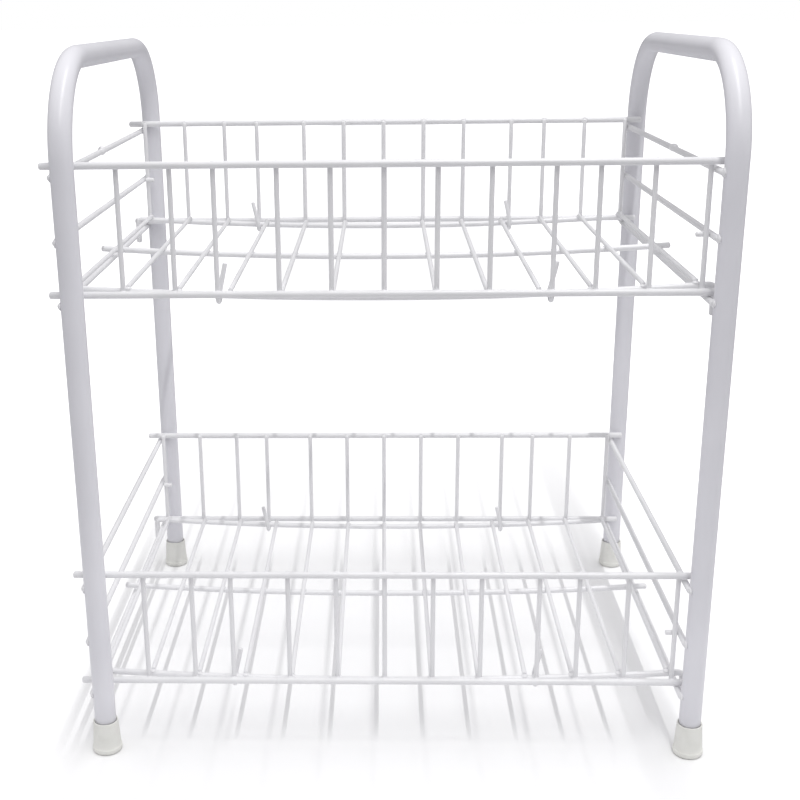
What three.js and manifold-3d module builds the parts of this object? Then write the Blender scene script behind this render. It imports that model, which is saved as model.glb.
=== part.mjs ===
// Two-tier wire basket organizer: two bent-tube end frames carry two wire baskets, hooked in with no screws.
// Millimetres, +Z up. X runs from end frame to end frame, Y from front to rear, and the floor is at Z = 0.

import * as THREE from 'three';
import { mergeVertices } from 'three/addons/utils/BufferGeometryUtils.js';
import Module from 'manifold-3d';

// End tubes: each is one tube bent into an arch, with a leg at the front and a leg at the rear.
const rackHeight = 402.5;
const frameSpacing = 344;
const legSpacing = 266;
const tubeDiameter = 12.5;
const tubeWall = 1;
const archRadius = 52;

// Foot caps: plastic, pushed over the tube ends.
const footHeight = 20;
const footBaseDiameter = 17.4;
const footRimDiameter = 14.6;
const footSole = 4;
const footEdge = 1.5;
const footClearance = 0.3;

// Crossbars: welded across the legs, on the same side of both end tubes, three bars to a tier.
// The welds sink them into the tubes. The top bar of the upper tier lies a little below the arch.
const crossbarDiameter = 3.6;
const crossbarPitch = 33.8;
const crossbarOverhang = 1;
const crossbarSink = 1.7;
const lowestCrossbarHeight = 37.5;
const crossbarBelowArch = 6.2;
const levels = ['bottom', 'middle', 'top'];

// Panels: two rails with uprights on their inner side. Two uprights end in hooks that hold the floor grid.
// The top rail lies a little above the top crossbars of its tier.
const railDiameter = 4;
const railOverhang = 8;
const topRailRise = 5;
const uprightDiameter = 2.8;
const uprightTipOverhang = 1;
const uprightEndPlay = 0.4;
const uprightsPerHalf = 6;
const hookUpright = 3;
const hookShift = 5.2;
const hookRadius = 4.7;
const hookDrop = 5.4;
const hookRise = 15;
const hookLean = 3.5;
const pinDiameter = 3;
const pinLength = 6.5;
const pinHeight = 30;
const pinClearance = 0.4;

// Floor grids: three long wires, bowed downwards, with slats across them.
// Each edge wire has one end bent down, as a catch behind the bottom crossbar.
const floorWireDiameter = 3.8;
const floorWireOverhang = 6;
const floorBow = 6;
const shortEndSetback = 3;
const catchClearance = 0.5;
const catchBend = 3;
const catchDrop = 10.3;
const slatDiameter = 2.8;
const slatEndPlay = 2.6;
const slatsPerHalf = 6;

// Fits: how deep welded wires sink into each other, and the gaps at welds and seats between pieces.
const weldSink = 0.6;
const weldGap = 0.1;
const seatGap = 0.3;

// Facets of the round sections and steps of the bends.
const tubeFacets = 16;
const barFacets = 8;
const wireFacets = 6;
const footFacets = 20;
const archSteps = 8;
const hookSteps = 8;
const catchSteps = 4;
const edgeSteps = 3;
const bowSteps = 14;

// Radii and places that follow from the sizes above.
const tubeRadius = tubeDiameter / 2;
const crossbarRadius = crossbarDiameter / 2;
const railRadius = railDiameter / 2;
const uprightRadius = uprightDiameter / 2;
const pinRadius = pinDiameter / 2;
const floorWireRadius = floorWireDiameter / 2;
const slatRadius = slatDiameter / 2;

const legY = legSpacing / 2;
const archTop = rackHeight - tubeRadius;
const archBase = archTop - archRadius;
const crossbarHalfSpan = frameSpacing / 2;
const crossbarInnerFace = crossbarHalfSpan - crossbarRadius;
const crossbarSide = -(tubeRadius - crossbarSink + crossbarRadius);

// Basket places are measured from the middle of the tier's two bottom crossbars.
const topCrossbarZ = (levels.length - 1) * crossbarPitch;
const bottomRailZ = crossbarRadius + seatGap + railRadius;
const topRailZ = topCrossbarZ + topRailRise;
const railY = legY - tubeRadius - seatGap - railRadius;
const railHalfLength = crossbarHalfSpan + railOverhang;
const uprightY = railY - railRadius - uprightRadius + weldSink;
const endUprightX = crossbarInnerFace - uprightEndPlay - uprightRadius;
const uprightPitch = endUprightX / uprightsPerHalf;
const hookX = hookUpright * uprightPitch + hookShift;
const floorEdgeY = uprightY - hookRadius;
const floorHalfLength = crossbarHalfSpan + floorWireOverhang;
const floorSeatZ = bottomRailZ - hookDrop + uprightRadius + seatGap + floorWireRadius;
const floorMiddleZ = floorSeatZ - floorBow * (hookX / floorHalfLength) ** 2;
const endSlatX = crossbarInnerFace - slatEndPlay - slatRadius;
const slatPitch = endSlatX / slatsPerHalf;
const catchX = crossbarHalfSpan + crossbarRadius + catchClearance + floorWireRadius;

const wasm = await Module();
wasm.setup();

const tubePaint = { color: 0xececf0, roughness: 0.32, metalness: 0 };
const wirePaint = { color: 0xf4f4f6, roughness: 0.36, metalness: 0 };
const capPlastic = { color: 0xd6d5ce, roughness: 0.6, metalness: 0 };

// A path through stations: every station becomes one ring of the section, square to the bisected direction.
class StationPath extends THREE.Curve {

  constructor(stations) {
    super();
    this.stations = stations;
  }

  getUtoTmapping(u) {
    return u;
  }

  getPoint(t, target = new THREE.Vector3()) {
    const place = t * (this.stations.length - 1);
    const start = Math.min(Math.floor(place), this.stations.length - 2);
    return target.lerpVectors(this.stations[start], this.stations[start + 1], place - start);
  }

  getTangent(t, target = new THREE.Vector3()) {
    const last = this.stations.length - 1;
    const place = Math.round(t * last);
    const here = this.stations[place];
    const arriving = here.clone().sub(this.stations[Math.max(place - 1, 0)]).normalize();
    const leaving = this.stations[Math.min(place + 1, last)].clone().sub(here).normalize();
    return target.addVectors(arriving, leaving).normalize();
  }

}

function point(x, y, z) {
  return new THREE.Vector3(x, y, z);
}

function circlePoints(radius, facets) {
  return Array.from({ length: facets }, (_, facet) => {
    const turn = (facet + 0.5) * 2 * Math.PI / facets;
    return new THREE.Vector2(radius * Math.cos(turn), radius * Math.sin(turn));
  });
}

// Points of an arc about a centre: it starts along one unit vector and turns towards another one.
function arcPoints(centre, radius, towardStart, towardTurn, turn, steps) {
  return Array.from({ length: steps + 1 }, (_, step) => {
    const angle = turn * step / steps;
    return centre.clone()
      .addScaledVector(towardStart, radius * Math.cos(angle))
      .addScaledVector(towardTurn, radius * Math.sin(angle));
  });
}

function sweep(section, stations) {
  return new THREE.ExtrudeGeometry(section, {
    steps: stations.length - 1,
    extrudePath: new StationPath(stations),
  });
}

function wire(radius, facets, stations) {
  return sweep(new THREE.Shape(circlePoints(radius, facets)), stations);
}

function solidOf(geometry) {
  const bare = geometry.clone();
  bare.deleteAttribute('normal');
  bare.deleteAttribute('uv');
  const merged = mergeVertices(bare);
  return new wasm.Manifold(new wasm.Mesh({
    numProp: 3,
    vertProperties: new Float32Array(merged.attributes.position.array),
    triVerts: new Uint32Array(merged.index.array),
  }));
}

function geometryOf(solid) {
  const mesh = solid.getMesh();
  const geometry = new THREE.BufferGeometry();
  geometry.setAttribute('position', new THREE.BufferAttribute(mesh.vertProperties, 3));
  geometry.setIndex(new THREE.BufferAttribute(mesh.triVerts, 1));
  geometry.computeVertexNormals();
  return geometry;
}

// Wires welded into one piece.
function weld(wires) {
  return geometryOf(wires.map(solidOf).reduce((joined, solid) => joined.add(solid)));
}

function piece(name, geometry, finish) {
  const mesh = new THREE.Mesh(geometry, new THREE.MeshStandardMaterial(finish));
  mesh.name = name;
  return mesh;
}

// End tube: up the front leg, over the hand bar and down the rear leg. Its open ends sit in the foot caps.
function endTubeGeometry() {
  const bendY = legY - archRadius;
  const legEnd = footSole + seatGap;
  const frontward = point(0, -1, 0);
  const rearward = point(0, 1, 0);
  const upward = point(0, 0, 1);
  const ring = new THREE.Shape(circlePoints(tubeRadius, tubeFacets));
  ring.holes.push(new THREE.Path(circlePoints(tubeRadius - tubeWall, tubeFacets)));
  return sweep(ring, [
    point(0, -legY, legEnd),
    ...arcPoints(point(0, -bendY, archBase), archRadius, frontward, upward, Math.PI / 2, archSteps),
    ...arcPoints(point(0, bendY, archBase), archRadius, upward, rearward, Math.PI / 2, archSteps),
    point(0, legY, legEnd),
  ]);
}

// Foot cap: a tapered cup with a rounded lower edge, open at the top for the tube.
function footCapGeometry() {
  const baseRadius = footBaseDiameter / 2;
  const boreRadius = tubeRadius + footClearance;
  const edge = Array.from({ length: edgeSteps + 1 }, (_, step) => {
    const turn = Math.PI / 2 * step / edgeSteps;
    return new THREE.Vector2(baseRadius - footEdge * (1 - Math.sin(turn)), footEdge * (1 - Math.cos(turn)));
  });
  const outline = [
    new THREE.Vector2(0, 0),
    ...edge,
    new THREE.Vector2(footRimDiameter / 2, footHeight),
    new THREE.Vector2(boreRadius, footHeight),
    new THREE.Vector2(boreRadius, footSole),
    new THREE.Vector2(0, footSole),
  ];
  return new THREE.LatheGeometry(outline, footFacets).rotateX(Math.PI / 2);
}

// Crossbar: notched at its two ends, where it is pressed into the sides of the legs.
function crossbarGeometry() {
  const end = legY + crossbarOverhang;
  const bar = solidOf(wire(crossbarRadius, barFacets, [point(0, -end, 0), point(0, end, 0)]));
  const legs = [-legY, legY].map((y) => solidOf(wire(tubeRadius + weldGap, tubeFacets, [
    point(-crossbarSide, y, -crossbarDiameter),
    point(-crossbarSide, y, crossbarDiameter),
  ])));
  return geometryOf(legs.reduce((left, leg) => left.subtract(leg), bar));
}

// Hooked upright: it runs down past the bottom rail, turns inwards under the floor wire and rises again.
function hookedUpright(x, topZ) {
  const bendZ = bottomRailZ - hookDrop + hookRadius;
  const outward = point(0, -1, 0);
  const downward = point(0, 0, -1);
  return wire(uprightRadius, wireFacets, [
    point(x, -uprightY, topZ),
    ...arcPoints(point(x, -floorEdgeY, bendZ), hookRadius, outward, downward, Math.PI, hookSteps),
    point(x + hookLean, hookRadius - floorEdgeY, bottomRailZ + hookRise),
  ]);
}

// Panel as it stands at the front of a basket. The rear panel is the same piece turned half round.
function panelGeometry() {
  const uprightTop = topRailZ + uprightTipOverhang;
  const wires = [bottomRailZ, topRailZ].map((z) => wire(railRadius, barFacets, [
    point(-railHalfLength, -railY, z),
    point(railHalfLength, -railY, z),
  ]));
  for (let place = -uprightsPerHalf; place <= uprightsPerHalf; place += 1) {
    if (Math.abs(place) === hookUpright) {
      wires.push(hookedUpright(Math.sign(place) * hookX, uprightTop));
    } else {
      const x = place * uprightPitch;
      const uprightFoot = bottomRailZ - uprightTipOverhang;
      wires.push(wire(uprightRadius, wireFacets, [
        point(x, -uprightY, uprightFoot),
        point(x, -uprightY, uprightTop),
      ]));
    }
  }
  const pinOuter = crossbarInnerFace - pinClearance;
  const pinY = uprightRadius + pinRadius - weldSink - uprightY;
  const pinZ = bottomRailZ + pinHeight;
  wires.push(wire(pinRadius, barFacets, [
    point(pinOuter - pinLength, pinY, pinZ),
    point(pinOuter, pinY, pinZ),
  ]));
  return weld(wires);
}

function floorZ(x) {
  return floorMiddleZ + floorBow * (x / floorHalfLength) ** 2;
}

function bowedStations(fromX, toX, y) {
  return Array.from({ length: bowSteps + 1 }, (_, step) => {
    const x = fromX + (toX - fromX) * step / bowSteps;
    return point(x, y, floorZ(x));
  });
}

// Edge wire at the front: its right end bends down outside the bottom crossbar, its left end stops inside.
function edgeWire() {
  const bendX = catchX - catchBend;
  const bow = bowedStations(shortEndSetback - crossbarHalfSpan, bendX, -floorEdgeY);
  const centre = point(bendX, -floorEdgeY, floorZ(bendX) - catchBend);
  const bend = arcPoints(centre, catchBend, point(0, 0, 1), point(1, 0, 0), Math.PI / 2, catchSteps);
  return wire(floorWireRadius, barFacets, [
    ...bow.slice(0, -1),
    ...bend,
    point(catchX, -floorEdgeY, -catchDrop),
  ]);
}

function floorGridGeometry() {
  const wires = [
    edgeWire(),
    edgeWire().rotateZ(Math.PI),
    wire(floorWireRadius, barFacets, bowedStations(-floorHalfLength, floorHalfLength, 0)),
  ];
  for (let place = -slatsPerHalf; place <= slatsPerHalf; place += 1) {
    const x = place * slatPitch;
    const z = floorZ(x) + floorWireRadius + slatRadius - weldSink;
    wires.push(wire(slatRadius, wireFacets, [point(x, -floorEdgeY, z), point(x, floorEdgeY, z)]));
  }
  return weld(wires);
}

// A tier's height is that of its bottom crossbars.
const tiers = [
  { name: 'lower', height: lowestCrossbarHeight },
  { name: 'upper', height: archBase - crossbarBelowArch - topCrossbarZ },
];

function endFrame(side, x) {
  const frame = new THREE.Group();
  frame.position.x = x;
  frame.add(piece(`${side}_end_tube`, endTubeGeometry(), tubePaint));
  for (const [end, y] of [['front', -legY], ['rear', legY]]) {
    const cap = piece(`${end}_${side}_foot_cap`, footCapGeometry(), capPlastic);
    cap.position.y = y;
    frame.add(cap);
  }
  for (const tier of tiers) {
    levels.forEach((level, step) => {
      const bar = piece(`${side}_${tier.name}_${level}_crossbar`, crossbarGeometry(), wirePaint);
      bar.position.set(crossbarSide, 0, tier.height + step * crossbarPitch);
      frame.add(bar);
    });
  }
  return frame;
}

function basket(tier) {
  const group = new THREE.Group();
  group.position.set(crossbarSide, 0, tier.height);
  const rearPanel = piece(`${tier.name}_rear_panel`, panelGeometry(), wirePaint);
  rearPanel.rotation.z = Math.PI;
  group.add(
    piece(`${tier.name}_floor_grid`, floorGridGeometry(), wirePaint),
    piece(`${tier.name}_front_panel`, panelGeometry(), wirePaint),
    rearPanel,
  );
  return group;
}

const rack = new THREE.Group();
rack.add(endFrame('left', -frameSpacing / 2), endFrame('right', frameSpacing / 2));
rack.add(...tiers.map(basket));

// The origin lies on the floor, in the middle of the overall width.
const reach = new THREE.Box3().setFromObject(rack);
rack.position.x = -(reach.min.x + reach.max.x) / 2;

export default rack;
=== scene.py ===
# %% [markdown]
# # A two-tier wire basket organizer
# The rack is a pair of bent steel tubes, standing on plastic foot caps, that carry two wire
# baskets. The imported CAD model gives every piece its place and its size, but its round bars have
# flat facets. In this lesson each piece is drawn again as a smooth surface in the place of the CAD
# one, with the welds and the rounded wire tips that a real rack has, and is then given its paint.
#
# The frame is loaded first. Lengths are in metres:
# x runs from the left end of the rack to the right one, y from the front to the rear, and z up.

import math

import bpy
import numpy as np
from mathutils import Matrix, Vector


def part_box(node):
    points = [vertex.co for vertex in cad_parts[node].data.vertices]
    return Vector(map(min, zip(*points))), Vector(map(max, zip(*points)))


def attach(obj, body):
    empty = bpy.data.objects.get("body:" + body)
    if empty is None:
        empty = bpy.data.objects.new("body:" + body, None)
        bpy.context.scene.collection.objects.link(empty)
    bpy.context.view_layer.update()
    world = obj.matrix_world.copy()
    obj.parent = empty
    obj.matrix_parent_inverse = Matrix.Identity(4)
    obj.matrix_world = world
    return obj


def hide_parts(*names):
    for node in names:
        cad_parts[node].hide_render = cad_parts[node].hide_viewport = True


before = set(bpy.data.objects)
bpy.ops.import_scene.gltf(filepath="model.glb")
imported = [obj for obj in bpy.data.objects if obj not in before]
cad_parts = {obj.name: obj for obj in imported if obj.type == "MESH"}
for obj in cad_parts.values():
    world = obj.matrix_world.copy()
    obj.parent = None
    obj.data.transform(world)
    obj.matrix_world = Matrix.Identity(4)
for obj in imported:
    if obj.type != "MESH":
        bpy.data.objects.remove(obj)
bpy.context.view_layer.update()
MM = 0.001
print("CAD nodes:", len(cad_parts))

# %% [markdown]
# ## The camera
# The photo was taken from less than a metre in front of the rack, from a little above its hand
# bars. The camera looks down by 18 degrees and is turned and tilted by a degree or two, as happens
# in a picture taken by hand. A new camera looks straight down, so it is levelled first. The lens
# shift moves the rack in the picture without turning the camera, so that the legs keep their slant.
# Sensor and lens are given in millimetres, as on a real camera.

# %% Set up the camera
CAMERA_PLACE = (-0.00441, -0.78398, 0.41943)
LOOK_DOWN = math.radians(18.264)
LOOK_LEFT = math.radians(1.931)
TILT = math.radians(-0.705)
SENSOR_WIDTH = 36.0
FOCAL_LENGTH = 56.69
LENS_SHIFT = (0.07197, 0.02977)

camera_data = bpy.data.cameras.new("photo_camera")
camera_data.sensor_width = SENSOR_WIDTH
camera_data.lens = FOCAL_LENGTH
camera_data.shift_x, camera_data.shift_y = LENS_SHIFT

levelled = Matrix.Rotation(math.radians(90), 4, "X")
turn_left = Matrix.Rotation(LOOK_LEFT, 4, "Z")
nod = Matrix.Rotation(-LOOK_DOWN, 4, "X")
roll = Matrix.Rotation(TILT, 4, "Z")
camera = bpy.data.objects.new("photo_camera", camera_data)
camera.matrix_world = Matrix.Translation(CAMERA_PLACE) @ turn_left @ levelled @ nod @ roll
bpy.context.scene.collection.objects.link(camera)
bpy.context.scene.camera = camera
print("camera looks along", [round(-part, 3) for part in camera.matrix_world.col[2].xyz])

# %% [markdown]
# ## Round wire as a surface
# Nearly everything here is round bar: rails, uprights, slats and hooks. Blender's curve objects can
# draw round bar too, but they leave its ends flat or open. A grid of points gives full control: one
# parameter runs along the wire, the other one around it. First come the paths, which are made of
# straight runs and arcs, and the direction of a path at each of its stations.

# %% Functions for paths
SIDEWAYS, REARWARD, UPWARD = np.eye(3)
AHEAD = -REARWARD
QUARTER_TURN, HALF_TURN, FULL_TURN = math.pi / 2, math.pi, 2 * math.pi


def unit(vectors):
    """Vectors made one long: each is divided by its own length."""
    return vectors / np.linalg.norm(vectors, axis=-1, keepdims=True)


def arc(centre, radius, start, turn_to, angle, steps):
    """Points of an arc: centre + radius * (cos a * start + sin a * turn_to), a from 0 to angle."""
    a = np.linspace(0, angle, steps + 1)[:, None]
    return np.array(centre) + radius * (np.cos(a) * start + np.sin(a) * turn_to)


def path_directions(path):
    """Direction at each station: the unit steps before and after it, added and made one long."""
    steps = unit(np.diff(path, axis=0))
    return unit(np.vstack([steps[:1], steps[:-1] + steps[1:], steps[-1:]]))


print("directions:", "sideways", SIDEWAYS, "rearward", REARWARD, "upward", UPWARD)

# %% [markdown]
# Around each station of a path stands a ring of points. Neighbouring rings are joined by four-sided
# faces. Where the first and the last ring shrink to a point, a fan of triangles closes the surface.
# The corners of every face are listed in the order that makes it look outwards.

# %% Functions for rings and faces


def ring_angles(sides):
    """Angles of the points of a ring: equal parts of a full turn."""
    return np.linspace(0, FULL_TURN, sides, endpoint=False)


def ring_quads(rings, sides):
    """Faces between neighbouring rings: a step along the ring, then a step to the next ring."""
    ring, side = np.meshgrid(np.arange(rings - 1), np.arange(sides), indexing="ij")
    here = ring * sides + side
    beside = ring * sides + (side + 1) % sides
    return np.stack([here, beside, beside + sides, here + sides], axis=-1).reshape(-1, 4)


def pole_fans(rings, sides):
    """Triangles that close both ends: point 0 is the start pole, the last point the end pole."""
    side = np.arange(sides)
    beside = (side + 1) % sides
    last_ring = 1 + (rings - 1) * sides
    end_pole = np.full(sides, last_ring + sides)
    start = np.stack([np.zeros(sides, int), 1 + beside, 1 + side], axis=-1)
    end = np.stack([end_pole, last_ring + side, last_ring + beside], axis=-1)
    return np.vstack([start, end])


def closed_surface(rings):
    """(points, quads, triangles) of a stack of rings, of which the first and last are a point."""
    open_rings, sides = len(rings) - 2, rings.shape[1]
    points = np.vstack([rings[0, :1], rings[1:-1].reshape(-1, 3), rings[-1, :1]])
    return points, 1 + ring_quads(open_rings, sides), pole_fans(open_rings, sides)


print("3 rings of 4 points:", len(ring_quads(3, 4)), "quads,", len(pole_fans(3, 4)), "triangles")

# %% [markdown]
# A wire carries its ring along the path. Close to both ends the ring shrinks, which gives the soft
# tip that a coat of paint leaves on a cut wire.

# %% Function for round wire
WIRE_SIDES = 20
TIP_RINGS = 4
TIP_LENGTH = 0.55


def round_wire(path, radius, side):
    """A wire along a path, as (points, quads, triangles).

    A ring is station + width * (cos t * across + sin t * over), where across is the side direction
    made square to the path, and over is square to both. The width is the radius. On a tip it is
    radius * cos u, at the distance TIP_LENGTH * radius * (1 - sin u) from the end of the path.
    """
    path = np.asarray(path, dtype=float)
    direction = path_directions(path)
    u = np.linspace(0, QUARTER_TURN, TIP_RINGS + 1)[:, None]
    inset = TIP_LENGTH * radius * (1 - np.sin(u))
    stations = np.vstack([
        path[0] + inset[::-1] * direction[0],
        path[1:-1],
        path[-1] - inset * direction[-1],
    ])
    along = np.vstack([
        np.repeat(direction[:1], TIP_RINGS + 1, axis=0),
        direction[1:-1],
        np.repeat(direction[-1:], TIP_RINGS + 1, axis=0),
    ])
    width = radius * np.vstack([np.cos(u)[::-1], np.ones((len(path) - 2, 1)), np.cos(u)])
    across = unit(side - (along @ side)[:, None] * along)
    over = np.cross(along, across)
    t = ring_angles(WIRE_SIDES)[:, None]
    spokes = np.cos(t) * across[:, None] + np.sin(t) * over[:, None]
    return closed_surface(stations[:, None] + width[:, None] * spokes)


print("a straight wire has", len(round_wire([AHEAD, REARWARD], MM, UPWARD)[0]), "points")

# %% [markdown]
# ## Weld metal
# The wires are welded by pressing them together hot. A little metal is squeezed out of the joint
# and stays as a low mound, and the paint rounds it off. A mound is half sunk in the wires, so a
# whole ellipsoid is the simplest surface for it. No two welds are alike, so their sizes differ a
# little. The random numbers for that start from a fixed seed, so every run gives the same welds.

# %% Function for weld mounds
BEAD_RINGS = 7
BEAD_SIDES = 14
BEAD_SPREAD = 0.12
WELD_SEED = 12
chance = np.random.default_rng(WELD_SEED)


def weld_beads(centres, along, over, size):
    """Mounds of weld metal, as (points, quads, triangles): an ellipsoid about each centre.

    It is centre + a * cos u * cos v * along + b * cos u * sin v * across + c * sin u * over, with
    (a, b, c) the size, u from pole to pole and v around. The three coordinates of every mound are
    scaled by 1, give or take BEAD_SPREAD.
    """
    across = np.cross(over, along)
    u = np.linspace(-QUARTER_TURN, QUARTER_TURN, BEAD_RINGS + 2)[:, None, None]
    v = ring_angles(BEAD_SIDES)[:, None]
    belly = size[0] * np.cos(v) * along + size[1] * np.sin(v) * across
    mound, quads, triangles = closed_surface(np.cos(u) * belly + size[2] * np.sin(u) * over)
    scale = 1 + BEAD_SPREAD * chance.uniform(-1, 1, (len(centres), 1, 3))
    points = np.array(centres)[:, None] + scale * mound
    shift = len(mound) * np.arange(len(centres))[:, None, None]
    return points.reshape(-1, 3), (shift + quads).reshape(-1, 4), (shift + triangles).reshape(-1, 3)


print("a weld mound has", BEAD_RINGS * BEAD_SIDES + 2, "points")

# %% [markdown]
# ## Finished pieces
# A piece is one mesh, made from all its wires and welds. It stands for a CAD node, moves with that
# node's body and names the material slot of its finish. The weld metal is marked in an attribute
# of the mesh, so that the paint can be rougher there.

# %% Functions for pieces
pieces_of_slot = {}


def middle(node):
    """Middle of a CAD node's box."""
    low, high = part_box(node)
    return np.array((low + high) / 2)


def merged(surfaces):
    """Several surfaces as one: the points in a row, and every face moved on to its own points."""
    starts = np.cumsum([0] + [len(points) for points, _, _ in surfaces[:-1]])
    points = np.vstack([points for points, _, _ in surfaces])
    quads = np.vstack([quads + start for (_, quads, _), start in zip(surfaces, starts)])
    triangles = np.vstack([corners + start for (_, _, corners), start in zip(surfaces, starts)])
    return points, quads, triangles


def new_piece(node, suffix, shapes, welds, body, slot):
    """One smooth mesh in the place of a CAD node, from lists of (points, quads, triangles)."""
    points, quads, triangles = merged(shapes + welds)
    mesh = bpy.data.meshes.new(f"{node}_{suffix}")
    mesh.from_pydata(points.tolist(), [], quads.tolist() + triangles.tolist())
    mesh.shade_smooth()
    marked = np.zeros(len(points), np.float32)
    marked[sum(len(shape[0]) for shape in shapes):] = 1
    mesh.attributes.new("weld", "FLOAT", "POINT").data.foreach_set("value", marked)
    piece = bpy.data.objects.new(f"{node}_{suffix}", mesh)
    bpy.context.scene.collection.objects.link(piece)
    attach(piece, body)
    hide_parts(node)
    pieces_of_slot.setdefault(slot, []).append(piece)
    print(piece.name, len(mesh.polygons), "faces")


# %% [markdown]
# ## End tubes
# Each end of the rack is one steel tube, bent twice on a tube bender. A bender squeezes the tube:
# in the bend the section gets a little narrower in the plane of the arch and a little wider across
# it. A round section alone would look too perfect, so the section changes along the path. The
# surface runs along the outside of the wall and comes back along the inside: the tube is hollow.

# %% Function for a bent tube
TUBE_RADIUS = 6.25 * MM
TUBE_WALL = 1 * MM
TUBE_SIDES = 48
SQUEEZE_IN = 0.04
SQUEEZE_OUT = 0.025


def bent_tube(path, squeeze):
    """A hollow tube in a plane of constant x, as (points, quads, triangles).

    A ring is station + radius * (cos t * wide * sideways + sin t * narrow * over), with wide equal
    to 1 + SQUEEZE_OUT * squeeze and narrow equal to 1 - SQUEEZE_IN * squeeze. The outer rings are
    followed by the inner ones in reverse order, and the last ring is joined to the first.
    """
    over = np.cross(path_directions(path), SIDEWAYS)
    t = ring_angles(TUBE_SIDES)[:, None]
    wide = (1 + SQUEEZE_OUT * squeeze)[:, None, None]
    narrow = (1 - SQUEEZE_IN * squeeze)[:, None, None]
    spokes = np.cos(t) * wide * SIDEWAYS + np.sin(t) * narrow * over[:, None]
    outside = path[:, None] + TUBE_RADIUS * spokes
    inside = path[:, None] + (TUBE_RADIUS - TUBE_WALL) * spokes
    rings = np.vstack([outside, inside[::-1]])
    points = rings.reshape(-1, 3)
    quads = ring_quads(len(rings) + 1, TUBE_SIDES) % len(points)
    return points, quads, np.zeros((0, 3), int)


print("tube:", 2 * TUBE_RADIUS / MM, "mm across, with a wall of", TUBE_WALL / MM, "mm")

# %% [markdown]
# The path of the arch has its legs over the foot caps and its top at the height that the CAD model
# gives. The squeeze grows and fades away over each bend.

# %% Bend the end tubes
ARCH_RADIUS = 52 * MM
ARCH_STEPS = 24
LEG_STEPS = 10
SIDES = ("left", "right")
leg_y = middle("rear_left_foot_cap")[1]


def arch_path(node):
    """Front leg, bend, hand bar, bend and rear leg, with the squeeze at every station.

    Over a bend the squeeze is the square root of sin s, for s from 0 to half a turn. Elsewhere it
    is 0.
    """
    x = middle(node)[0]
    low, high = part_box(node)
    bend_y = leg_y - ARCH_RADIUS
    bend_z = high.z - TUBE_RADIUS - ARCH_RADIUS
    front_leg = np.linspace([x, -leg_y, low.z], [x, -leg_y, bend_z], LEG_STEPS + 1)
    front_bend = arc([x, -bend_y, bend_z], ARCH_RADIUS, AHEAD, UPWARD, QUARTER_TURN, ARCH_STEPS)
    rear_bend = arc([x, bend_y, bend_z], ARCH_RADIUS, UPWARD, REARWARD, QUARTER_TURN, ARCH_STEPS)
    rear_leg = front_leg[::-1] * [1, -1, 1]
    path = np.vstack([front_leg[:-1], front_bend, rear_bend, rear_leg[1:]])
    swell = np.sqrt(np.sin(np.linspace(0, HALF_TURN, ARCH_STEPS + 1)))
    straight = np.zeros(LEG_STEPS)
    return path, np.concatenate([straight, swell, swell, straight])


for side in SIDES:
    node = f"{side}_end_tube"
    new_piece(node, "coated", [bent_tube(*arch_path(node))], [], "stand", "tube_paint")

# %% [markdown]
# ## Foot caps
# The caps are moulded plastic cups, pushed over the tube ends. They widen towards the floor, end
# there in a low lip, and have rounded edges, so that they leave the mould easily and don't mark a
# worktop. A cap is round, so only its profile has to be drawn: from the middle of the sole, up the
# outside, over the rim and down into the bore.

# %% Draw the profile of a foot cap
CAP_EDGE = 1.6 * MM
CAP_SOLE_INSET = 1.92 * MM
CAP_LIP = 3.2 * MM
CAP_LIP_EDGE = 0.25 * MM
CAP_LIP_STEP = 0.4 * MM
CAP_RIM_RADIUS = 7.3 * MM
CAP_RIM_EDGE = 0.45 * MM
CAP_BORE_RADIUS = 6.4 * MM
CAP_SOLE = 4 * MM
EDGE_STEPS = 8
WALL_STEPS = 7
OUT, IN, UP, DOWN = np.array([[1, 0], [-1, 0], [0, 1], [0, -1]])


def rounded(x, z, radius, start, turn_to):
    """A rounded edge: the quarter circle about (x, z) from the start direction to turn_to."""
    return arc([x, z], radius, start, turn_to, QUARTER_TURN, EDGE_STEPS)


def cap_profile(node):
    """Radius and height of a cap's profile points: straight runs joined by quarter circles."""
    low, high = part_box(node)
    base_radius = (high.x - low.x) / 2
    rim_z = high.z - low.z - CAP_RIM_EDGE
    lower_edge = rounded(base_radius - CAP_EDGE, CAP_EDGE, CAP_EDGE, DOWN, OUT)
    lip = rounded(base_radius - CAP_LIP_EDGE, CAP_LIP, CAP_LIP_EDGE, OUT, UP)
    rim = rounded(CAP_RIM_RADIUS - CAP_RIM_EDGE, rim_z, CAP_RIM_EDGE, OUT, UP)
    mouth = rounded(CAP_BORE_RADIUS + CAP_RIM_EDGE, rim_z, CAP_RIM_EDGE, UP, IN)
    wall_foot = [base_radius - CAP_LIP_STEP, CAP_LIP + CAP_LIP_STEP]
    wall = np.linspace(wall_foot, rim[0], WALL_STEPS + 1)
    sole = [[0, 0], [base_radius - CAP_SOLE_INSET, 0]]
    bore = [[CAP_BORE_RADIUS, CAP_SOLE], [0, CAP_SOLE]]
    return np.vstack([sole, lower_edge, lip, wall[:-1], rim, mouth[1:], bore])


print("profile points of a cap:", len(cap_profile("front_left_foot_cap")))

# %% [markdown]
# Turning the profile about the axis of the leg gives the cap. Blender's Screw modifier would do
# this too, but the grid of points closes the middle of the sole and of the bore cleanly.

# %% Turn the foot caps
CAP_SIDES = 64


def turned(profile, centre):
    """A closed surface, the profile turned about an axis: centre + (r * cos t, r * sin t, z)."""
    t = ring_angles(CAP_SIDES)
    radius, z = profile[:, :1], profile[:, 1:]
    rings = np.stack(np.broadcast_arrays(radius * np.cos(t), radius * np.sin(t), z), axis=-1)
    return closed_surface(rings + centre)


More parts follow.
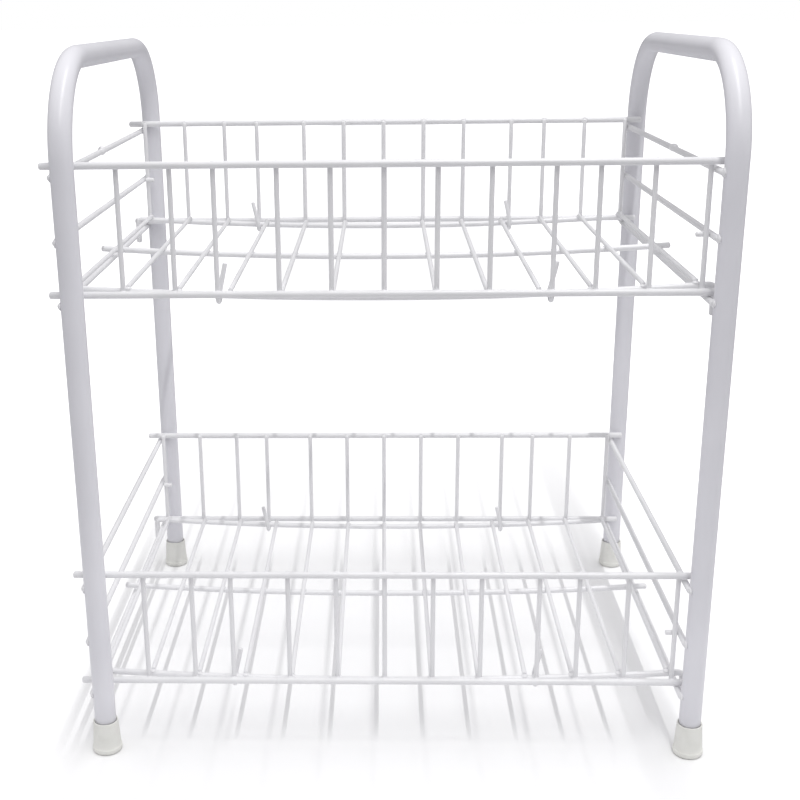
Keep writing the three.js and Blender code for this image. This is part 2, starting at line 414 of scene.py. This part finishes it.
for end in ("front", "rear"):
    for side in SIDES:
        node = f"{end}_{side}_foot_cap"
        cap = turned(cap_profile(node), middle(node) * [1, 1, 0])
        new_piece(node, "moulded", [cap], [], "stand", "cap_plastic")

# %% [markdown]
# ## Crossbars
# Three thin bars to a tier are welded across the legs of each end tube, on the left side of both
# tubes. The lowest one of a tier carries its basket. The welds are made by pressing the hot bar
# against the side of the tube, and a low mound of metal stays in the joint. The top bar of the
# upper tier also has a small lump near its middle, where the frame hung on a hook while the paint
# was baked.

# %% Weld the crossbars
CROSSBAR_RADIUS = 1.8 * MM
CROSSBAR_STEPS = 12
CROSSBAR_BEAD = (3.3 * MM, 2.5 * MM, 1.1 * MM)
HANG_MARK = (3.0 * MM, 2.6 * MM, 2.7 * MM)
HANG_MARK_Y = {"left": -6 * MM, "right": -17 * MM}
HANG_MARK_RISE = 0.45 * MM
TIERS = ("upper", "lower")
LEVELS = ("bottom", "middle", "top")


def crossbar(side, tier, level):
    """A bar along y with a weld at both legs, and with its hang mark if it has one."""
    node = f"{side}_{tier}_{level}_crossbar"
    low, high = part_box(node)
    x, _, z = middle(node)
    path = np.linspace([x, low.y, z], [x, high.y, z], CROSSBAR_STEPS + 1)
    bar = round_wire(path, CROSSBAR_RADIUS, UPWARD)
    seam_x = middle(f"{side}_end_tube")[0] - TUBE_RADIUS
    seams = [[seam_x, -leg_y, z], [seam_x, leg_y, z]]
    welds = [weld_beads(seams, REARWARD, SIDEWAYS, CROSSBAR_BEAD)]
    if (tier, level) == ("upper", "top"):
        lump = [[x, HANG_MARK_Y[side], z + HANG_MARK_RISE]]
        welds.append(weld_beads(lump, REARWARD, UPWARD, HANG_MARK))
    new_piece(node, "coated", [bar], welds, "stand", "wire_paint")


for side in SIDES:
    for tier in TIERS:
        for level in LEVELS:
            crossbar(side, tier, level)

# %% [markdown]
# ## Where a basket sits
# A basket isn't screwed to the rack. Its bottom rails lie on the bottom crossbars of its tier,
# between the legs. So the middle of these two crossbars is a good origin for all the wires of a
# basket: both tiers then use the same shapes, and the rear panel is the front one turned half
# round, which changes the signs of x and y.

# %% Find the origin of each tier
HALF_ROUND = np.array([-1.0, -1.0, 1.0])
left_bars = {tier: middle(f"left_{tier}_bottom_crossbar") for tier in TIERS}
right_bars = {tier: middle(f"right_{tier}_bottom_crossbar") for tier in TIERS}
origin = {tier: (left_bars[tier] + right_bars[tier]) / 2 for tier in TIERS}
half_span = (right_bars["upper"][0] - left_bars["upper"][0]) / 2
inner_face = half_span - CROSSBAR_RADIUS


def placed(surfaces, start, turn=1.0):
    """Surfaces of basket coordinates in their place: points * turn + start."""
    return [(points * turn + start, quads, triangles) for points, quads, triangles in surfaces]


for tier, place in origin.items():
    print(tier, "basket's origin in mm:", np.round(place / MM, 2).tolist())

# %% [markdown]
# ## Panels
# A panel is a ladder of wire: two thick rails, with thin uprights welded to their inner side. The
# rails lie just inside the legs, the lower one on the bottom crossbars. The uprights stand in even
# steps between the crossbars, apart from the two with hooks, which stand a little further out.
# Where wires only touch, a small gap is left between them, and where they are welded, one sinks
# into the other.

# %% Measure the panels
SEAT_GAP = 0.3 * MM
WELD_SINK = 0.6 * MM
RAIL_RADIUS = 2.0 * MM
TOP_RAIL_RISE = 5 * MM
UPRIGHT_RADIUS = 1.4 * MM
UPRIGHT_TIP = 1 * MM
UPRIGHT_END_PLAY = 0.4 * MM
UPRIGHTS_PER_HALF = 6
HOOK_UPRIGHT = 3
HOOK_SHIFT = 5.2 * MM

low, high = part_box("upper_front_panel")
rail_end = (high.x - low.x) / 2
rail_y = leg_y - TUBE_RADIUS - SEAT_GAP - RAIL_RADIUS
rail_low = CROSSBAR_RADIUS + SEAT_GAP + RAIL_RADIUS
rail_high = middle("left_upper_top_crossbar")[2] + TOP_RAIL_RISE - origin["upper"][2]
upright_top = rail_high + UPRIGHT_TIP
upright_y = rail_y - RAIL_RADIUS - UPRIGHT_RADIUS + WELD_SINK
last_upright = inner_face - UPRIGHT_END_PLAY - UPRIGHT_RADIUS
places = np.arange(-UPRIGHTS_PER_HALF, UPRIGHTS_PER_HALF + 1)
hooked = np.abs(places) == HOOK_UPRIGHT
upright_x = last_upright * places / UPRIGHTS_PER_HALF + hooked * np.sign(places) * HOOK_SHIFT
print("x of the uprights in mm:", np.round(upright_x / MM, 1).tolist())

# %% [markdown]
# Two of the uprights run on below the bottom rail and turn up again as hooks, which hold the floor
# of the basket. A short pin on one end upright keeps the panel from sliding sideways.

# %% Shape the wires of a panel
RAIL_STEPS = 13
UPRIGHT_STEPS = 6
HOOK_RADIUS = 4.7 * MM
HOOK_DROP = 5.4 * MM
HOOK_RISE = 15 * MM
HOOK_LEAN = 3.5 * MM
HOOK_STEPS = 16
PIN_RADIUS = 1.5 * MM
PIN_LENGTH = 6.5 * MM
PIN_GAP = 0.4 * MM
PIN_HEIGHT = 30 * MM
pin_z = rail_low + PIN_HEIGHT


def hook_path(x):
    """Down the upright, half round the hook and up its free end, which leans sideways."""
    bend_z = rail_low - HOOK_DROP + HOOK_RADIUS
    stem = np.linspace([x, -upright_y, upright_top], [x, -upright_y, bend_z], UPRIGHT_STEPS + 1)
    centre = [x, HOOK_RADIUS - upright_y, bend_z]
    bend = arc(centre, HOOK_RADIUS, AHEAD, -UPWARD, HALF_TURN, HOOK_STEPS)
    free_end = bend[-1] + [HOOK_LEAN, 0, rail_low + HOOK_RISE - bend_z]
    return np.vstack([stem[:-1], bend, free_end])


def panel_wires():
    """The wires of a front panel, in basket coordinates: rails, uprights, hooks and the pin."""
    rail = np.linspace([-rail_end, -rail_y, 0], [rail_end, -rail_y, 0], RAIL_STEPS + 1)
    rails = [round_wire(rail + z * UPWARD, RAIL_RADIUS, AHEAD) for z in (rail_low, rail_high)]
    foot, head = [0, -upright_y, rail_low - UPRIGHT_TIP], [0, -upright_y, upright_top]
    plain = np.linspace(foot, head, UPRIGHT_STEPS + 1)
    uprights = [round_wire(plain + x * SIDEWAYS, UPRIGHT_RADIUS, AHEAD) for x in upright_x[~hooked]]
    hooks = [round_wire(hook_path(x), UPRIGHT_RADIUS, SIDEWAYS) for x in upright_x[hooked]]
    pin_y = UPRIGHT_RADIUS + PIN_RADIUS - WELD_SINK - upright_y
    pin_end = np.array([inner_face - PIN_GAP, pin_y, pin_z])
    pin = round_wire([pin_end - PIN_LENGTH * SIDEWAYS, pin_end], PIN_RADIUS, AHEAD)
    return rails + uprights + hooks + [pin]


print("wires in a panel:", len(panel_wires()))

# %% [markdown]
# Every crossing of two wires is a weld, and so is the place where the pin lies on its upright.

# %% Weld the panels
RAIL_BEAD = (2.1 * MM, 2.1 * MM, 1.0 * MM)
PIN_BEAD = (1.5 * MM, 1.7 * MM, 0.8 * MM)


def panel_welds():
    """Mounds where the uprights cross the rails and where the pin crosses its upright."""
    x, z = np.meshgrid(upright_x, [rail_low, rail_high])
    seam_y = np.full(x.shape, -upright_y - UPRIGHT_RADIUS + WELD_SINK / 2)
    crossings = np.stack([x, seam_y, z], axis=-1).reshape(-1, 3)
    pin_seam = [[last_upright, UPRIGHT_RADIUS - WELD_SINK / 2 - upright_y, pin_z]]
    return [
        weld_beads(crossings, SIDEWAYS, AHEAD, RAIL_BEAD),
        weld_beads(pin_seam, SIDEWAYS, AHEAD, PIN_BEAD),
    ]


for tier in TIERS:
    for end, turn in (("front", 1.0), ("rear", HALF_ROUND)):
        wires = placed(panel_wires(), origin[tier], turn)
        welds = placed(panel_welds(), origin[tier], turn)
        new_piece(f"{tier}_{end}_panel", "coated", wires, welds, f"{tier}_{end}", "wire_paint")

# %% [markdown]
# ## Floor grids
# Three long wires carry the thin slats of a basket's floor. The two at the edges lie in the hooks
# of the panels. All three sag a little in the middle, which a parabola describes well.

# %% Measure the floor grids
LONG_WIRE_RADIUS = 1.9 * MM
LONG_WIRE_OVERHANG = 6 * MM
BOW = 6 * MM
BOW_STEPS = 28
SLAT_RADIUS = 1.4 * MM
SLAT_END_PLAY = 2.6 * MM
SLAT_COUNT = 13

edge_y = upright_y - HOOK_RADIUS
floor_end = half_span + LONG_WIRE_OVERHANG
hook_x = upright_x[hooked].max()
seat_z = rail_low - HOOK_DROP + UPRIGHT_RADIUS + SEAT_GAP + LONG_WIRE_RADIUS
lowest_z = seat_z - BOW * (hook_x / floor_end) ** 2
last_slat = inner_face - SLAT_END_PLAY - SLAT_RADIUS
slat_x = np.linspace(-last_slat, last_slat, SLAT_COUNT)


def floor_z(x):
    """Height of a long wire: its lowest point, plus BOW * (x / half length) squared."""
    return lowest_z + BOW * (x / floor_end) ** 2


def bowed(start, end, y):
    """Stations of a long wire between two x places."""
    x = np.linspace(start, end, BOW_STEPS + 1)
    return np.stack([x, np.full(x.size, y), floor_z(x)], axis=-1)


print("sag between the hooks in mm:", round(float(floor_z(hook_x) - floor_z(0)) / MM, 2))

# %% [markdown]
# Each edge wire has one end bent down behind the bottom crossbar, as a catch: at the right on the
# front edge, at the left on the rear one. So the rear wire is the front one turned half round.

# %% Shape the wires of a floor grid
SHORT_END_SETBACK = 3 * MM
CATCH_BEND = 3 * MM
CATCH_GAP = 0.5 * MM
CATCH_DROP = 10.3 * MM
CATCH_STEPS = 10
SLAT_STEPS = 8


def edge_path():
    """The front edge wire: along the bow, round the bend and down to the end of the catch."""
    catch_x = half_span + CROSSBAR_RADIUS + CATCH_GAP + LONG_WIRE_RADIUS
    bend_x = catch_x - CATCH_BEND
    centre = [bend_x, -edge_y, floor_z(bend_x) - CATCH_BEND]
    bend = arc(centre, CATCH_BEND, UPWARD, SIDEWAYS, QUARTER_TURN, CATCH_STEPS)
    run = bowed(SHORT_END_SETBACK - half_span, bend_x, -edge_y)
    return np.vstack([run[:-1], bend, [catch_x, -edge_y, -CATCH_DROP]])


def floor_wires():
    """The wires of a floor grid, in basket coordinates: two edges, the spine and the slats."""
    front_edge = edge_path()
    long_wires = [front_edge, front_edge * HALF_ROUND, bowed(-floor_end, floor_end, 0)]
    slat_z = floor_z(slat_x) + LONG_WIRE_RADIUS + SLAT_RADIUS - WELD_SINK
    across = np.linspace([0, -edge_y, 0], [0, edge_y, 0], SLAT_STEPS + 1)
    slats = [across + [x, 0, z] for x, z in zip(slat_x, slat_z)]
    return [
        *(round_wire(path, LONG_WIRE_RADIUS, AHEAD) for path in long_wires),
        *(round_wire(path, SLAT_RADIUS, SIDEWAYS) for path in slats),
    ]


print("wires in a floor grid:", len(floor_wires()))

# %% [markdown]
# The slats lie on the long wires, pressed a little into them, so their welds sit between the two.

# %% Weld the floor grids
SLAT_BEAD = (2.1 * MM, 2.1 * MM, 1.0 * MM)


def floor_welds():
    """Mounds where the slats cross the long wires."""
    x, y = np.meshgrid(slat_x, [-edge_y, 0, edge_y])
    z = floor_z(x) + LONG_WIRE_RADIUS - WELD_SINK / 2
    crossings = np.stack([x, y, z], axis=-1).reshape(-1, 3)
    return [weld_beads(crossings, SIDEWAYS, UPWARD, SLAT_BEAD)]


for tier in TIERS:
    wires = placed(floor_wires(), origin[tier])
    welds = placed(floor_welds(), origin[tier])
    new_piece(f"{tier}_floor_grid", "coated", wires, welds, f"{tier}_floor", "wire_paint")

# %% [markdown]
# ## Powder coat
# The steel is powder coated: dry paint is blown on, sticks by static charge, and is baked to a hard
# white skin. The tubes and the wires share this finish, so it is made once, as a shader node group
# that gives a colour, a roughness and a height. A group is a node tree with sockets of its own, and
# each material that uses it sets its own colours there.

# %% Start the powder coat group


def new_group(name, inputs, outputs):
    """A shader node group with the given sockets, and the nodes at its two ends."""
    group = bpy.data.node_groups.new(name, "ShaderNodeTree")
    for in_out, sockets in (("INPUT", inputs), ("OUTPUT", outputs)):
        for label, kind in sockets.items():
            group.interface.new_socket(label, in_out=in_out, socket_type=f"NodeSocket{kind}")
    start, end = group.nodes.new("NodeGroupInput"), group.nodes.new("NodeGroupOutput")
    return group, start.outputs, end.inputs


FINISH = {"Colour": "Color", "Roughness": "Float", "Height": "Float"}
coat, coat_in, coat_out = new_group(
    "powder_coat",
    {"Place": "Vector", "Thick Coat": "Color", "Thin Coat": "Color", "Weld": "Float"},
    FINISH,
)
print("powder coat group:", len(coat.interface.items_tree), "sockets")

# %% [markdown]
# Close up, the coat isn't even. Its thickness varies over some centimetres, it has a fine grain,
# it has the shallow waves called orange peel, and the welds under it are covered with spatter. Each
# of these is a cloudy noise of its own size, given as the number of its waves to the metre.

# %% Add the unevenness of the coat
THICKNESS_WAVES = 22.0
GRAIN_WAVES = 260.0
PEEL_WAVES = 650.0
SPATTER_WAVES = 1500.0


def join(tree, source, target):
    """Sets a socket: a link if the source is a socket, otherwise a constant."""
    if isinstance(source, bpy.types.NodeSocket):
        tree.links.new(source, target)
    else:
        target.default_value = source


def noise(tree, place, waves, detail=2.0):
    """Cloudy noise between 0 and 1, with waves to the metre and detail as many finer layers."""
    node = tree.nodes.new("ShaderNodeTexNoise")
    join(tree, place, node.inputs["Vector"])
    join(tree, waves, node.inputs["Scale"])
    join(tree, detail, node.inputs["Detail"])
    return node.outputs["Fac"]


thickness = noise(coat, coat_in["Place"], THICKNESS_WAVES)
grain = noise(coat, coat_in["Place"], GRAIN_WAVES, detail=3.0)
peel = noise(coat, coat_in["Place"], PEEL_WAVES, detail=1.0)
spatter = noise(coat, coat_in["Place"], SPATTER_WAVES)
print("powder coat group:", len(coat.nodes), "nodes")

# %% [markdown]
# Where the coat is thin it is a little greyer, because the steel shows through. On the welds it is
# thin in spots, which follow the grain.

# %% Colour the coat
NONE_TO_ALL = (0.0, 1.0)
THIN_SPAN = (0.35, 0.7)


def remap(tree, value, span, result_span):
    """A value taken from one span to another in proportion, and kept inside it."""
    node = tree.nodes.new("ShaderNodeMapRange")
    join(tree, value, node.inputs["Value"])
    labels = ("From Min", "From Max", "To Min", "To Max")
    for label, limit in zip(labels, span + result_span):
        join(tree, limit, node.inputs[label])
    return node.outputs["Result"]


def math_node(tree, operation, first, second=0.0):
    """One step of arithmetic with one or two values."""
    node = tree.nodes.new("ShaderNodeMath")
    node.operation = operation
    join(tree, first, node.inputs[0])
    join(tree, second, node.inputs[1])
    return node.outputs["Value"]


def blend_colours(tree, share, first, second):
    """The first colour where share is 0, the second one where it is 1."""
    node = tree.nodes.new("ShaderNodeMix")
    node.data_type = "RGBA"
    colours = [socket for socket in node.inputs if socket.type == "RGBA"]
    join(tree, share, node.inputs["Factor"])
    join(tree, first, colours[0])
    join(tree, second, colours[1])
    return next(socket for socket in node.outputs if socket.type == "RGBA")


thin = remap(coat, thickness, THIN_SPAN, NONE_TO_ALL)
thin = math_node(coat, "MAXIMUM", thin, math_node(coat, "MULTIPLY", coat_in["Weld"], grain))
coat_colour = blend_colours(coat, thin, coat_in["Thick Coat"], coat_in["Thin Coat"])
join(coat, coat_colour, coat_out["Colour"])
print("powder coat group:", len(coat.nodes), "nodes")

# %% [markdown]
# The coat is smooth enough for soft highlights, a little rougher where its grain is coarse, and
# rougher still over a weld. The height is the orange peel, with the spatter of the welds on top.

# %% Roughen the coat
GRAIN_SPAN = (0.3, 0.7)
COAT_ROUGHNESS = (0.3, 0.36)
WELD_ROUGHNESS = 0.12
SPATTER_HEIGHT = 2.5

roughness = remap(coat, grain, GRAIN_SPAN, COAT_ROUGHNESS)
weld_roughness = math_node(coat, "MULTIPLY", coat_in["Weld"], WELD_ROUGHNESS)
join(coat, math_node(coat, "ADD", roughness, weld_roughness), coat_out["Roughness"])
weld_spatter = math_node(coat, "MULTIPLY", spatter, coat_in["Weld"])
weld_height = math_node(coat, "MULTIPLY", weld_spatter, SPATTER_HEIGHT)
join(coat, math_node(coat, "ADD", peel, weld_height), coat_out["Height"])
print("powder coat group:", len(coat.nodes), "nodes")

# %% [markdown]
# ## Tube and wire paint
# Both paints are white with a cool, faintly lilac cast, and the tube's is the cooler one. The
# group's height goes through a Bump node, which bends the light as waves two hundredths of a
# millimetre high would. Real geometry that fine would need millions of faces.

# %% Paint the tubes and wires
COAT_WAVE = 0.02 * MM
TUBE_COLOURS = {
    "Thick Coat": (0.80, 0.795, 0.832, 1.0),
    "Thin Coat": (0.76, 0.755, 0.792, 1.0),
}
WIRE_COLOURS = {
    "Thick Coat": (0.86, 0.858, 0.87, 1.0),
    "Thin Coat": (0.81, 0.808, 0.82, 1.0),
}


def finish_material(name, group, colours, wave):
    """A material whose colour, roughness and bump come from the group of a finish."""
    material = bpy.data.materials.new(name)
    material.use_nodes = True
    tree = material.node_tree
    shader = tree.nodes["Principled BSDF"]
    place = tree.nodes.new("ShaderNodeTexCoord")
    bump = tree.nodes.new("ShaderNodeBump")
    finish = tree.nodes.new("ShaderNodeGroup")
    finish.node_tree = group
    join(tree, place.outputs["Object"], finish.inputs["Place"])
    for label, colour in colours.items():
        join(tree, colour, finish.inputs[label])
    if "Weld" in finish.inputs:
        weld = tree.nodes.new("ShaderNodeAttribute")
        weld.attribute_name = "weld"
        join(tree, weld.outputs["Fac"], finish.inputs["Weld"])
    join(tree, finish.outputs["Height"], bump.inputs["Height"])
    join(tree, wave, bump.inputs["Distance"])
    join(tree, finish.outputs["Colour"], shader.inputs["Base Color"])
    join(tree, finish.outputs["Roughness"], shader.inputs["Roughness"])
    join(tree, bump.outputs["Normal"], shader.inputs["Normal"])
    return material


tube_coat = finish_material("tube_coat", coat, TUBE_COLOURS, COAT_WAVE)
wire_coat = finish_material("wire_coat", coat, WIRE_COLOURS, COAT_WAVE)
print("paints:", tube_coat.name, wire_coat.name)

# %% [markdown]
# ## Cap plastic
# The caps are a warm, light grey plastic with a matte skin: the mould was spark eroded, and its
# fine grain is copied by the plastic. Where a cap stands on the floor, its lowest band is painted
# darker as contact shade. That band follows the height over the sole, which object coordinates give
# directly. The painted shade is uneven, and faint blotches of wear reach higher up.

# %% Mix the cap plastic
PLASTIC_GRAIN_WAVES = 2200.0
MOTTLE_WAVES = 120.0
ALL_TO_NONE = (1.0, 0.0)
FOOT_SHADE_BAND = (0.0, 2.2 * MM)
PATCH_SPAN, PATCH_SHADE = (0.3, 0.6), (0.4, 1.0)
BLOTCH_SPAN, BLOTCH_WEAR = (0.45, 0.8), (0.0, 0.5)
MOTTLE_SPAN, PLASTIC_ROUGHNESS = (0.3, 0.7), (0.48, 0.6)

plastic, plastic_in, plastic_out = new_group(
    "moulded_plastic",
    {"Place": "Vector", "Clean": "Color", "Shade And Wear": "Color"},
    FINISH,
)
plastic_grain = noise(plastic, plastic_in["Place"], PLASTIC_GRAIN_WAVES)
mottle = noise(plastic, plastic_in["Place"], MOTTLE_WAVES, detail=3.0)
cap_place = plastic.nodes.new("ShaderNodeSeparateXYZ")
join(plastic, plastic_in["Place"], cap_place.inputs["Vector"])
# Painted contact shade: a band at the foot of the cap, darker towards the sole, made uneven by the
# mottle.
foot_shade = remap(plastic, cap_place.outputs["Z"], FOOT_SHADE_BAND, ALL_TO_NONE)
shade_and_wear = math_node(plastic, "MULTIPLY", foot_shade, remap(plastic, mottle, PATCH_SPAN, PATCH_SHADE))
shade_and_wear = math_node(plastic, "MAXIMUM", shade_and_wear, remap(plastic, mottle, BLOTCH_SPAN, BLOTCH_WEAR))
plastic_colour = blend_colours(plastic, shade_and_wear, plastic_in["Clean"], plastic_in["Shade And Wear"])
join(plastic, plastic_colour, plastic_out["Colour"])
join(plastic, remap(plastic, mottle, MOTTLE_SPAN, PLASTIC_ROUGHNESS), plastic_out["Roughness"])
join(plastic, plastic_grain, plastic_out["Height"])
print("plastic group:", len(plastic.nodes), "nodes")

# %% [markdown]
# ## Finishes on the pieces
# The cap's material is made in the same way as the paints. Each piece then gets the material of the
# slot that it named.

# %% Finish the pieces
PLASTIC_WAVE = 0.03 * MM
# The darker colour stands for both the painted shade at the foot and the blotches of wear.
PLASTIC_COLOURS = {"Clean": (0.80, 0.80, 0.757, 1.0), "Shade And Wear": (0.68, 0.675, 0.63, 1.0)}

cap_skin = finish_material("cap_skin", plastic, PLASTIC_COLOURS, PLASTIC_WAVE)
finishes = {"tube_paint": tube_coat, "wire_paint": wire_coat, "cap_plastic": cap_skin}
for slot, material in finishes.items():
    for piece in pieces_of_slot[slot]:
        piece.data.materials.append(material)
    print(material.name, "on", len(pieces_of_slot[slot]), "pieces")

# %% [markdown]
# ## Studio lamp
# The photo shows the rack on white paper, under a long tube lamp overhead that runs from front to
# back: the tops of the wires are bright, and the faces towards the camera are a soft grey. Because
# the lamp is long and thin, wires along it cast clear stripes on the paper, and wires across it
# hardly any. An area lamp of that shape gives just this light. The Standard view transform shows
# white as white, as the photo does.

# %% Hang the lamp
LAMP_LENGTH = 2.7
LAMP_WIDTH = 0.022
LAMP_X, LAMP_Y, LAMP_HEIGHT = 0.283, -0.95, 2.3
LAMP_POWER = 28.0

lamp_data = bpy.data.lights.new("tube_lamp", "AREA")
lamp_data.shape = "RECTANGLE"
lamp_data.size = LAMP_WIDTH
lamp_data.size_y = LAMP_LENGTH
lamp_data.energy = LAMP_POWER
lamp = bpy.data.objects.new("tube_lamp", lamp_data)
lamp.location = (LAMP_X, LAMP_Y, LAMP_HEIGHT)
bpy.context.scene.collection.objects.link(lamp)
bpy.context.scene.view_settings.view_transform = "Standard"
print("tube lamp:", LAMP_POWER, "W at", LAMP_HEIGHT, "m")

# %% [markdown]
# ## Room
# The room is the world around the scene. Its light is strongest overhead, weaker at both sides, and
# missing in front, where the photographer stands, and behind. The darkness in front gives the legs
# and rails their soft grey. A world's Generated coordinates are the direction that the light comes
# from, so its strength is worked out from them. The camera itself sees plain white instead.

# %% Surround the scene with a room
WHITE = (1.0, 1.0, 1.0, 1.0)
SKY_LIGHT = (1.0, 0.995, 1.015, 1.0)
SKY_TOP = 0.88
SKY_SIDES = 0.65

world = bpy.data.worlds.new("studio_air")
world.use_nodes = True
tree = world.node_tree
sky = tree.nodes["Background"]
seen = tree.nodes.new("ShaderNodeLightPath").outputs["Is Camera Ray"]
direction = tree.nodes.new("ShaderNodeTexCoord")
parts = tree.nodes.new("ShaderNodeSeparateXYZ")
join(tree, direction.outputs["Generated"], parts.inputs["Vector"])
upward_part = math_node(tree, "MAXIMUM", parts.outputs["Z"], 0.0)
overhead = math_node(tree, "MULTIPLY", upward_part, SKY_TOP)
sideways_part = math_node(tree, "POWER", parts.outputs["X"], 2.0)
at_sides = math_node(tree, "MULTIPLY", sideways_part, SKY_SIDES)
strength = math_node(tree, "ADD", overhead, at_sides)
join(tree, math_node(tree, "MAXIMUM", strength, seen), sky.inputs["Strength"])
join(tree, blend_colours(tree, seen, SKY_LIGHT, WHITE), sky.inputs["Color"])
bpy.context.scene.world = world
print("room:", world.name, "with", len(tree.nodes), "nodes")

# %% [markdown]
# ## White paper
# The paper is a large flat sheet under the rack. It isn't a part of the object.

# %% Lay the paper
FLOOR_HALF_SIZE = 30.0
PAPER_ROUGHNESS = 0.9
PAPER_GLOSS = 0.0

corners = np.array([[-1, -1, 0], [1, -1, 0], [1, 1, 0], [-1, 1, 0]]) * FLOOR_HALF_SIZE
floor_mesh = bpy.data.meshes.new("paper_floor")
floor_mesh.from_pydata(corners.tolist(), [], [[0, 1, 2, 3]])
floor = bpy.data.objects.new("paper_floor", floor_mesh)
bpy.context.scene.collection.objects.link(floor)

paper = bpy.data.materials.new("white_paper")
paper.use_nodes = True
floor_mesh.materials.append(paper)
tree = paper.node_tree
shader = tree.nodes["Principled BSDF"]
join(tree, PAPER_ROUGHNESS, shader.inputs["Roughness"])
join(tree, PAPER_GLOSS, shader.inputs["Specular IOR Level"])
print("paper:", 2 * FLOOR_HALF_SIZE, "m wide")

# %% [markdown]
# The lamp's light fades with the distance, but the paper in the photo is white up to the horizon.
# So the paper also glows, for the camera alone, by what is missing to white. The lamp's share of
# the light was read off a test render, and fades with the distance from the lamp about as
# 1 / (1 + (distance / height) squared) squared. The room's share is the same everywhere: a light
# that grows with the height over the horizon gives a flat sheet two thirds of what an even one
# would, and one that grows with x squared gives a quarter. The photo was also retouched: the
# shadows beside the rack were whitened, so the glow grows there too.

# %% Make the paper glow
PAPER_SEEN = 0.93
PAPER_WHITE = 1.05
LAMP_SHARE = 0.47
SKY_SHARE = PAPER_SEEN * (SKY_TOP * 2 / 3 + SKY_SIDES / 4)
RETOUCH_BAND, RETOUCH_GLOW = (0.185, 0.25), (0.0, 0.35)

seen = tree.nodes.new("ShaderNodeLightPath").outputs["Is Camera Ray"]
place = tree.nodes.new("ShaderNodeTexCoord").outputs["Object"]
from_lamp = tree.nodes.new("ShaderNodeVectorMath")
from_lamp.operation = "DISTANCE"
join(tree, place, from_lamp.inputs[0])
join(tree, (LAMP_X, LAMP_Y, 0.0), from_lamp.inputs[1])
ratio = math_node(tree, "DIVIDE", from_lamp.outputs["Value"], LAMP_HEIGHT)
spread = math_node(tree, "ADD", math_node(tree, "POWER", ratio, 2.0), 1.0)
fading = math_node(tree, "POWER", spread, -2.0)
lamp_light = math_node(tree, "MULTIPLY", fading, LAMP_SHARE)
missing = math_node(tree, "SUBTRACT", PAPER_WHITE - SKY_SHARE, lamp_light)
glow = math_node(tree, "MAXIMUM", missing, 0.0)
parts = tree.nodes.new("ShaderNodeSeparateXYZ")
join(tree, place, parts.inputs["Vector"])
beside = math_node(tree, "ABSOLUTE", parts.outputs["X"])
glow = math_node(tree, "ADD", glow, remap(tree, beside, RETOUCH_BAND, RETOUCH_GLOW))
join(tree, math_node(tree, "MULTIPLY", glow, seen), shader.inputs["Emission Strength"])
print("room's share of the paper's light:", round(SKY_SHARE, 3))

# %% [markdown]
# The rack is lit from below by what a real studio has: a white sheet around the feet, and the
# greyer floor of the room beyond it. The camera sees white paper everywhere.

# %% Colour the paper
SHEET_BOUNCE = (0.86, 0.86, 0.87, 1.0)
ROOM_BOUNCE = (0.42, 0.42, 0.43, 1.0)
SHEET_EDGE = (0.3, 0.7)

from_middle = tree.nodes.new("ShaderNodeVectorMath")
from_middle.operation = "LENGTH"
join(tree, place, from_middle.inputs[0])
beyond_sheet = remap(tree, from_middle.outputs["Value"], SHEET_EDGE, NONE_TO_ALL)
bounce = blend_colours(tree, beyond_sheet, SHEET_BOUNCE, ROOM_BOUNCE)
paper_colour = blend_colours(tree, seen, bounce, (PAPER_SEEN, PAPER_SEEN, PAPER_SEEN, 1.0))
join(tree, paper_colour, shader.inputs["Base Color"])
print("paper:", paper.name, "with", len(tree.nodes), "nodes")
